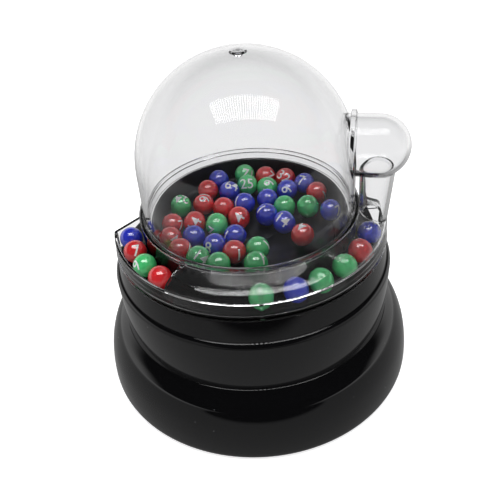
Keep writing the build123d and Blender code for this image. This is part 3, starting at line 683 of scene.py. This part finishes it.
def tray_piece():
    """Clear crescent tray: floor, walls, rim and the slanted end wall."""
    channel = rounded([(47.6, DECK_TOP), (61.2, DECK_TOP), (61.2, 72.0), (60.8, 72.3), (60.8, TRAY_TOP),
                       (59.2, TRAY_TOP), (59.2, 72.0), (47.6, 72.0)],
                      [0.0, 0.5, 0.3, 0.2, 0.6, 0.6, 0.8, 0.0], 6)
    obj = lathe("channel", channel, TRAY_START, TRAY_END, 1.5)
    middle, length = Vector((-53.3, 1.2, 0)) * MM, 17.9
    turn = Matrix.Translation(middle) @ Matrix.Rotation(radians(45.0), 4, "Z")
    combine(obj, box_mesh((-40.0, WALL / 2, 69.0), (20.0, 42.0, 82.0), turn), "DIFFERENCE")
    wall = box_mesh((-length / 2, -WALL / 2, 70.7), (length / 2, WALL / 2, TRAY_TOP), turn)
    inner = rounded([(46.9, DECK_TOP), (48.2, DECK_TOP), (48.2, 84.8), (46.9, 84.8)], 0.4, 5)
    ring = lathe("inner_wall", inner, step=1.5)
    closed = in_metres([(47.6, 71.0), (60.6, 71.0), (60.6, TRAY_TOP), (47.6, TRAY_TOP)])
    stop = lathe("stop", closed, STOP_START, TRAY_END, 0.7)
    strip = in_metres([(60.2, 72.0), (61.5, 72.0), (61.5, TRAY_TOP), (60.2, TRAY_TOP)])
    rib = lathe("rib", strip, SEAM - SEAM_HALF, SEAM + SEAM_HALF, SEAM_HALF)
    for other in (ring, wall, stop, rib):
        combine(obj, other, "UNION")
    return wear(obj, ["tray"], "base", "clear")


class BlackMouldings(bpy.types.Operator):
    """Builds the foot, the drum, the deck, the bowl and the turntable"""

    bl_idname = "ball_machine.black_mouldings"
    bl_label = "Black mouldings"

    def execute(self, context):
        for build in (foot_piece, drum_piece, deck_piece, bowl_piece, turntable_piece):
            build()
        return {"FINISHED"}


class ClearMouldings(bpy.types.Operator):
    """Builds the dome, its plug, the nose, the chute, the roof and the tray"""

    bl_idname = "ball_machine.clear_mouldings"
    bl_label = "Clear mouldings"

    def execute(self, context):
        for build in (dome_piece, plug_piece, nose_piece, chute_piece, roof_piece, tray_piece):
            build()
        return {"FINISHED"}


# ---------------------------------------------------------------- what repeats
def islands(node):
    """Middles of the separate solids in one CAD node."""
    bm = bmesh.new()
    bm.from_mesh(frame["nodes"][node].data)
    bmesh.ops.remove_doubles(bm, verts=bm.verts, dist=1e-6)
    left = set(bm.verts)
    middles = []
    while left:
        found, border = [], [left.pop()]
        while border:
            vert = border.pop()
            found.append(vert.co.copy())
            others = {edge.other_vert(vert) for edge in vert.link_edges} & left
            left -= others
            border += others
        low = Vector(min(c[k] for c in found) for k in range(3))
        high = Vector(max(c[k] for c in found) for k in range(3))
        middles.append((low + high) / 2)
    bm.free()
    return middles


def copies_tree():
    """Geometry Nodes: one piece on every point, made real and given its finish."""
    tree = bpy.data.node_groups.new("Copies on points", "GeometryNodeTree")
    face = tree.interface
    for label, kind in (("Geometry", "NodeSocketGeometry"), ("Piece", "NodeSocketObject"),
                        ("Scale", "NodeSocketFloat"), ("Material", "NodeSocketMaterial")):
        face.new_socket(name=label, in_out="INPUT", socket_type=kind)
    face.new_socket(name="Geometry", in_out="OUTPUT", socket_type="NodeSocketGeometry")
    given = tree.nodes.new("NodeGroupInput").outputs
    piece = add_node(tree, "GeometryNodeObjectInfo", "Geometry", {"Object": given["Piece"]})
    inputs = {"Points": given["Geometry"], "Instance": piece, "Scale": given["Scale"]}
    spread = add_node(tree, "GeometryNodeInstanceOnPoints", "Instances", inputs)
    real = add_node(tree, "GeometryNodeRealizeInstances", "Geometry", {"Geometry": spread})
    inputs = {"Geometry": real, "Material": given["Material"]}
    painted = add_node(tree, "GeometryNodeSetMaterial", "Geometry", inputs)
    tree.links.new(painted, tree.nodes.new("NodeGroupOutput").inputs["Geometry"])
    return tree


def repeat(name, piece, node, body, slot, scale=1.0):
    """One finished mesh with a piece on the middle of every solid of a CAD node."""
    tree = bpy.data.node_groups.get("Copies on points") or copies_tree()
    obj = new_object(name, [tuple(p) for p in islands(node)], [])
    step = obj.modifiers.new("grow", "NODES")
    step.node_group = tree
    values = {"Piece": piece, "Scale": scale, "Material": finish(slot)}
    for item in tree.interface.items_tree:
        if item.in_out == "INPUT" and item.name in values:
            step[item.identifier] = values[item.name]
    obj.update_tag()
    obj.data = worked_out(obj)
    return wear(obj, [node], body, slot)


# One entry for each ball of a group: its numeral, then where the numeral's middle lies right and up
# of the ball's middle in ball radii as the camera sees it, and its turn in degrees. A numeral
# without a place is on the side away from the camera. The dome's balls run from left to right,
# those of the tray from its left end round to the chute.
DOME_NUMERALS = [
    ("4", (0.35, -0.15, -20)), ("7", (0.78, -0.1, 0)), ("24", (0.1, 0.68, 180)), ("1", (0.8, 0.2, -10)),
    ("13", None), ("14", (0.0, -0.02, 62)), ("14", (0.35, 0.0, -35)), ("16", (0.1, 0.72, -98)),
    ("27", None), ("8", (-0.6, -0.25, -6)), ("7", (-0.6, -0.58, -10)), ("30", None), ("3", None),
    ("18", None), ("64", (0.25, 0.66, -12)), ("1", (0.42, -0.3, 0)), ("1", (-0.85, 0.0, -20)),
    ("4", (0.0, 0.0, 60)), ("1", (-0.8, 0.2, -12)), ("71", (0.3, 0.05, -12)), ("25", (-0.08, 0.15, 4)),
    ("1", (0.55, 0.4, 20)), ("1", (0.8, 0.3, 35)), ("1", (-0.55, 0.5, -50)), ("12", None),
    ("7", (0.5, 0.05, -40)), ("19", (0.15, 0.2, 82)), ("14", (-0.12, 0.25, -40)), ("22", None),
    ("9", (-0.05, 0.0, 82)), ("32", (-0.2, 0.2, -35)), ("4", (-0.05, 0.75, 150)), ("20", None),
    ("7", (-0.3, 0.3, -15)), ("1", (0.8, -0.25, 25)), ("7", (0.72, -0.05, 10))]
OPEN_NUMERALS = [("15", None), ("7", (0.1, 0.1, 10)), ("9", (-0.75, 0.0, 40)), ("29", None)]
ROOFED_NUMERALS = [("7", None), ("28", None), ("23", None), ("10", None), ("26", None), ("12", None)]
NUMERAL_LIFT = 0.03 * MM
NUMERAL_CELL = 0.45 * MM
CAPITAL_SHARE, STROKE_GROWTH = 0.70, 0.006


def numeral_mesh(text, height):
    """Numeral cut into small cells: points with z 0 at its back and 1 at its front, and faces."""
    curve = bpy.data.curves.new("numeral", "FONT")
    curve.body, curve.size = text, height / CAPITAL_SHARE
    curve.offset = STROKE_GROWTH * height
    curve.resolution_u = 5
    holder = bpy.data.objects.new("numeral", curve)
    bpy.context.scene.collection.objects.link(holder)
    mesh = bpy.data.meshes.new_from_object(holder.evaluated_get(bpy.context.evaluated_depsgraph_get()))
    bpy.data.objects.remove(holder)
    bm = bmesh.new()
    bm.from_mesh(mesh)
    bmesh.ops.remove_doubles(bm, verts=bm.verts, dist=1e-6)
    for axis in (0, 1):
        low = min(v.co[axis] for v in bm.verts)
        high = max(v.co[axis] for v in bm.verts)
        for v in bm.verts:
            v.co[axis] -= (low + high) / 2
        for k in range(1, int((high - low) / NUMERAL_CELL) + 1):
            at, across = Vector((0, 0, 0)), Vector((0, 0, 0))
            at[axis], across[axis] = (low - high) / 2 + k * NUMERAL_CELL, 1.0
            everything = bm.verts[:] + bm.edges[:] + bm.faces[:]
            bmesh.ops.bisect_plane(bm, geom=everything, plane_co=at, plane_no=across)
    front = bmesh.ops.extrude_face_region(bm, geom=bm.faces[:])["geom"]
    for item in front:
        if isinstance(item, bmesh.types.BMVert):
            item.co.z = 1.0
    bmesh.ops.recalc_face_normals(bm, faces=bm.faces)
    bm.verts.index_update()
    verts = [v.co.copy() for v in bm.verts]
    faces = [tuple(v.index for v in f.verts) for f in bm.faces]
    bm.free()
    return verts, faces


def seen_from_camera(centre, place):
    """Where a numeral faces and its reading direction, both unit vectors."""
    near = (Vector(CAMERA_PLACE) - centre).normalized()
    right = Vector(CAMERA_RIGHT)
    right = (right - near * right.dot(near)).normalized()
    up = near.cross(right)
    if place is None:
        return (near * -0.9 - up * 0.4).normalized(), right
    across, high, turn = place
    facing = right * across + up * high + near * sqrt(max(0.0, 1 - across ** 2 - high ** 2))
    reading = right * cos(radians(turn)) + up * sin(radians(turn))
    return facing.normalized(), reading


def numerals(name, body, centres, plan):
    """Thin raised print of the numerals on a group's balls, laid round each ball."""
    verts, faces = [], []
    radius = sizes().ball_radius
    for centre, (text, place) in zip(centres, plan, strict=True):
        flat, cells = numeral_mesh(text, sizes().numeral_height)
        facing, reading = seen_from_camera(centre, place)
        across = (reading - facing * reading.dot(facing)).normalized()
        along = facing.cross(across)
        start = len(verts)
        for v in flat:
            reach = max(sqrt(v.x ** 2 + v.y ** 2), 1e-9)
            way = (across * v.x + along * v.y) / reach
            lift = NUMERAL_LIFT if v.z > 0.5 else -NUMERAL_LIFT
            spot = centre + (facing * cos(reach / radius) + way * sin(reach / radius)) * (radius + lift)
            verts.append(tuple(spot))
        faces += [tuple(start + i for i in cell) for cell in cells]
    obj = new_object(name, verts, faces)
    sharpen(obj)
    put_material(obj, finish("numeral"))
    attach(obj, body)
    return obj


class NumberedBalls(bpy.types.Operator):
    """Builds the red, green and blue balls and the print of their numerals"""

    bl_idname = "ball_machine.numbered_balls"
    bl_label = "Numbered balls"

    def execute(self, context):
        half_turn = arc((0.0, 0.0), 1.0, -90, 90, 28)
        ball = lathe("ball", half_turn, step=6.5)
        for group_name, body in (("dome", "rotor"), ("open", "open_balls"), ("roofed", "roofed_balls")):
            centres = []
            for colour in ("red", "green", "blue"):
                node = f"{group_name}_balls_{colour}"
                repeat(f"{group_name}_{colour}", ball, node, body, f"{colour}_ball", sizes().ball_radius)
                centres += islands(node)
            if group_name == "dome":
                numerals("dome_numerals", body, sorted(centres, key=lambda c: c.x), DOME_NUMERALS)
            else:
                centres.sort(key=lambda c: atan2(c.y, c.x) % (2 * pi))
                plan = OPEN_NUMERALS if group_name == "open" else ROOFED_NUMERALS
                numerals(f"{group_name}_numerals", body, centres, plan)
        bpy.data.objects.remove(ball)
        return {"FINISHED"}


# Node, head radius, head height and shank radius in mm, and whether the head is on top.
SCREWS = [("deck_screws", 2.8, 1.5, 1.3, False), ("plate_screws", 2.6, 1.4, 1.2, False),
          ("cover_screws", 2.7, 1.2, 1.3, False), ("motor_screws", 2.0, 1.2, 1.1, True)]
THREAD_PITCH = 0.9


def screw(head_radius, head_height, shank_radius, shank_length, head_up=False):
    """Pan-head screw with a cross recess, about the middle of its length, in mm."""
    total = head_height + shank_length
    low, seat, top = -total / 2, head_height - total / 2, total / 2
    shade = shank_radius * 0.82
    head = [(0.3, low), (head_radius * 0.6, low + 0.08 * head_height),
            (head_radius * 0.93, low + 0.5 * head_height), (head_radius, seat)]
    outline = [(0.0, low)] + curve_points(head, 12) + [(shank_radius, seat)]
    turns = max(2, int((shank_length - 1.6) / THREAD_PITCH))
    for k in range(turns):
        z = seat + 0.6 + THREAD_PITCH * k
        outline += [(shade, z), (shank_radius, z + 0.35), (shade, z + 0.7)]
    outline += [(shade, top - 0.6), (0.0, top)]
    obj = lathe("screw", in_metres(outline), step=12)
    reach, depth = head_radius * 0.55, head_height * 0.55
    for size in ((reach, 0.35), (0.35, reach)):
        cutter = box_mesh((-size[0], -size[1], low - 1.0), (size[0], size[1], low + depth))
        combine(obj, cutter, "DIFFERENCE")
    if head_up:
        move_mesh(obj, Matrix.Rotation(pi, 4, "X"))
    return obj


def rubber_foot():
    """Turned rubber foot with a dished underside, about its middle."""
    low, high = corner("rubber_feet", 0, 2) / MM, corner("rubber_feet", 1, 2) / MM
    middle = (low + high) / 2
    low, high = low - middle, high - middle
    outline = [(0.0, low + 0.35), (2.6, low + 0.35), (3.4, low), (4.9, low), (5.5, low + 0.5), (5.5, high),
               (0.0, high)]
    return lathe("rubber_foot", rounded(outline, [0, 0.3, 0.3, 0.3, 0.3, 0, 0]), step=7.5)


class Fasteners(bpy.types.Operator):
    """Builds the screws and the rubber feet"""

    bl_idname = "ball_machine.fasteners"
    bl_label = "Screws and feet"

    def execute(self, context):
        for node, head_radius, head_height, shank_radius, head_up in SCREWS:
            length = (corner(node, 1, 2) - corner(node, 0, 2)) / MM
            piece = screw(head_radius, head_height, shank_radius, length - head_height, head_up)
            repeat(f"{node}_turned", piece, node, "base", "steel")
            bpy.data.objects.remove(piece)
        foot = rubber_foot()
        repeat("feet", foot, "rubber_feet", "base", "rubber")
        bpy.data.objects.remove(foot)
        return {"FINISHED"}


# ---------------------------------------------------------------- operators
class FinishNodes(bpy.types.Operator):
    """Gives every CAD node the procedural finish of its material slot"""

    bl_idname = "ball_machine.finish_nodes"
    bl_label = "Finish CAD nodes"

    def execute(self, context):
        slots = {s["node"]: s["material_slot"] for s in frame["record"]["subparts"]}
        for name, node in frame["nodes"].items():
            if name not in slots:
                raise RuntimeError(f"{name} has no material slot")
            put_material(node, finish(slots[name]))
        return {"FINISHED"}


class BuildStage(bpy.types.Operator):
    """Makes the floor, the world, the soft light and the camera"""

    bl_idname = "ball_machine.build_stage"
    bl_label = "Build stage"

    def execute(self, context):
        build_floor()
        build_world(context.scene)
        build_softbox()
        build_camera(context.scene)
        return {"FINISHED"}


CAMERA_PLACE = (-1.08 * MM, -251.6 * MM, 252.2 * MM)
CAMERA_RIGHT = (0.9972, -0.0457, -0.0595)
CAMERA_UP = (0.0750, 0.607, 0.791)
CAMERA_LENS = 48.8
FLOOR_SIZE = 3.0
WORLD_LEVEL, INNER_LEVEL = 0.60, 0.35
FLOOR_GLOW, FLOOR_REACH, WORLD_REACH, WORLD_DROP = 0.7, 2.7, 0.7, 1.0
# Where a falloff is dim, where it is full, and its dim level.
FLOOR_SIDES, FLOOR_FRONT, WORLD_SIDES = (0.0, 0.5, 0.32), (-0.20, -0.14, 0.1), (0.2, 0.8, 0.03)
SOFTBOX_PLACE, SOFTBOX_SIZE, SOFTBOX_LEVEL = (0.04, -0.135, 0.73), (0.70, 0.29), 5.0
GRID_SCALE, GRID_DEPTH = 14.0, 0.9


def seen_white(tree, path):
    """Value of 1 for camera rays, also on through clear plastic, until they meet a solid surface."""
    through = maths(tree, "MAXIMUM", path["Is Camera Ray"], path["Is Transmission Ray"])
    met = maths(tree, "ADD", path["Glossy Depth"], path["Diffuse Depth"])
    return maths(tree, "MULTIPLY", through, maths(tree, "LESS_THAN", met, 0.5))


def seen_mirrored(tree, path):
    """Value of 1 for rays that a surface has reflected, also on through clear plastic."""
    return maths(tree, "MULTIPLY", path["Is Glossy Ray"], path["Glossy Depth"], clamp=True)


def front_falloff(tree, vector, reach, drop, low, high, dim):
    """Level of the surroundings in reflections: dim in front and overhead, 1 at the sides and behind."""
    part = tree.nodes.new("ShaderNodeSeparateXYZ")
    tree.links.new(vector, part.inputs["Vector"])
    x, y, z = part.outputs
    way = maths(tree, "MULTIPLY_ADD", maths(tree, "MULTIPLY", x, x), reach, y)
    way = maths(tree, "MULTIPLY_ADD", z, -drop, way)
    return remap(tree, way, low, high, dim, 1.0, "SMOOTHSTEP")


def at_least_inner(tree, path, level):
    """The level, but no less than INNER_LEVEL for rays that come out of clear plastic."""
    return maths(tree, "MAXIMUM", level, maths(tree, "MULTIPLY", path["Is Transmission Ray"], INNER_LEVEL))


def emission(tree, strength=1.0):
    return add_node(tree, "ShaderNodeEmission", "Emission", {"Strength": strength})


def mix_shaders(tree, share, first, second):
    return add_node(tree, "ShaderNodeMixShader", "Shader", {"Fac": share, 1: first, 2: second})


def build_floor():
    """Pale floor: shaded for the camera, white through clear plastic, dim in front in reflections."""
    half = FLOOR_SIZE / 2
    floor = new_object("floor", [(-half, -half, 0), (half, -half, 0), (half, half, 0), (-half, half, 0)],
                       [(0, 1, 2, 3)], smooth=False)
    material, tree, shader = fresh_material("Pale floor")
    shader.inputs["Base Color"].default_value = (0.80, 0.80, 0.81, 1)
    shader.inputs["Roughness"].default_value = 0.8
    pale = shader.outputs["BSDF"]
    path = tree.nodes.new("ShaderNodeLightPath").outputs
    lit = add_node(tree, "ShaderNodeAddShader", "Shader", {0: pale, 1: emission(tree, FLOOR_GLOW)})
    white = mix_shaders(tree, path["Is Camera Ray"], emission(tree), lit)
    shown = mix_shaders(tree, seen_white(tree, path), pale, white)
    sides = front_falloff(tree, place_on(tree), FLOOR_REACH, 0.0, *FLOOR_SIDES)
    front_end = front_falloff(tree, place_on(tree), FLOOR_REACH, 0.0, *FLOOR_FRONT)
    level = at_least_inner(tree, path, maths(tree, "MULTIPLY", sides, front_end))
    surface = mix_shaders(tree, seen_mirrored(tree, path), shown, emission(tree, level))
    tree.links.new(surface, tree.nodes["Material Output"].inputs["Surface"])
    put_material(floor, material)


def build_world(scene):
    """White to the camera and through clear plastic; in reflections dim in front and overhead."""
    world = bpy.data.worlds.new("Studio")
    scene.world = world
    world.use_nodes = True
    tree = world.node_tree
    path = tree.nodes.new("ShaderNodeLightPath").outputs
    around = front_falloff(tree, place_on(tree, "Generated"), WORLD_REACH, WORLD_DROP, *WORLD_SIDES)
    around = at_least_inner(tree, path, around)
    inputs = {"Factor": seen_mirrored(tree, path), "A": WORLD_LEVEL, "B": around}
    level = add_node(tree, "ShaderNodeMix", "Result", inputs)
    inputs = {"Factor": seen_white(tree, path), "A": level, "B": 1.0}
    back = tree.nodes["Background"]
    back.inputs["Color"].default_value = (1, 1, 1, 1)
    tree.links.new(add_node(tree, "ShaderNodeMix", "Result", inputs), back.inputs["Strength"])


def build_softbox():
    """Wide soft light overhead behind a fine grid, seen in what reflects it."""
    half_x, half_y = SOFTBOX_SIZE[0] / 2, SOFTBOX_SIZE[1] / 2
    x, y, z = SOFTBOX_PLACE
    corners = [(x - half_x, y - half_y, z), (x - half_x, y + half_y, z), (x + half_x, y + half_y, z),
               (x + half_x, y - half_y, z)]
    box = new_object("softbox", corners, [(0, 1, 2, 3)], smooth=False)
    material, tree, shader = fresh_material("Softbox")
    tree.nodes.remove(shader)
    bars = add_node(tree, "ShaderNodeTexWave", "Fac", {"Vector": place_on(tree), "Scale": GRID_SCALE})
    level = remap(tree, bars, 0.3, 0.7, SOFTBOX_LEVEL * (1 - GRID_DEPTH), SOFTBOX_LEVEL * (1 + GRID_DEPTH))
    tree.links.new(emission(tree, level), tree.nodes["Material Output"].inputs["Surface"])
    put_material(box, material)
    box.visible_camera = False


def build_camera(scene):
    lens = bpy.data.cameras.new("camera")
    lens.lens, lens.sensor_width, lens.sensor_fit = CAMERA_LENS, 36.0, "HORIZONTAL"
    lens.clip_start = 0.01
    camera = bpy.data.objects.new("camera", lens)
    right, up = Vector(CAMERA_RIGHT).normalized(), Vector(CAMERA_UP)
    back = right.cross(up).normalized()
    up = back.cross(right)
    camera.matrix_world = Matrix((
        (right.x, up.x, back.x, CAMERA_PLACE[0]), (right.y, up.y, back.y, CAMERA_PLACE[1]),
        (right.z, up.z, back.z, CAMERA_PLACE[2]), (0, 0, 0, 1)))
    scene.collection.objects.link(camera)
    scene.camera = camera


class BallMachinePanel(bpy.types.Panel):
    """Lists the sizes, the colours and the pieces"""

    bl_idname = "VIEW3D_PT_ball_machine"
    bl_label = "Ball machine"
    bl_space_type = "VIEW_3D"
    bl_region_type = "UI"
    bl_category = "Ball machine"

    def draw(self, context):
        for settings in (sizes(), colours()):
            for name in settings.__annotations__:
                self.layout.prop(settings, name)
        for operator in OPERATORS:
            self.layout.operator(operator.bl_idname)


OPERATORS = (FinishNodes, BlackMouldings, ClearMouldings, NumberedBalls, Fasteners, BuildStage)
CLASSES = (BallMachineSizes, BallMachineColours, *OPERATORS, BallMachinePanel)


def register():
    for item in CLASSES:
        bpy.utils.register_class(item)
    bpy.types.Scene.ball_machine_sizes = bpy.props.PointerProperty(type=BallMachineSizes)
    bpy.types.Scene.ball_machine_colours = bpy.props.PointerProperty(type=BallMachineColours)


def unregister():
    del bpy.types.Scene.ball_machine_colours
    del bpy.types.Scene.ball_machine_sizes
    for item in reversed(CLASSES):
        bpy.utils.unregister_class(item)


def main():
    register()
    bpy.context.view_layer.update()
    bpy.context.scene.view_settings.view_transform = "Standard"
    for operator in OPERATORS:
        kind, name = operator.bl_idname.split(".")
        getattr(getattr(bpy.ops, kind), name)()


if __name__ == "__main__":
    main()
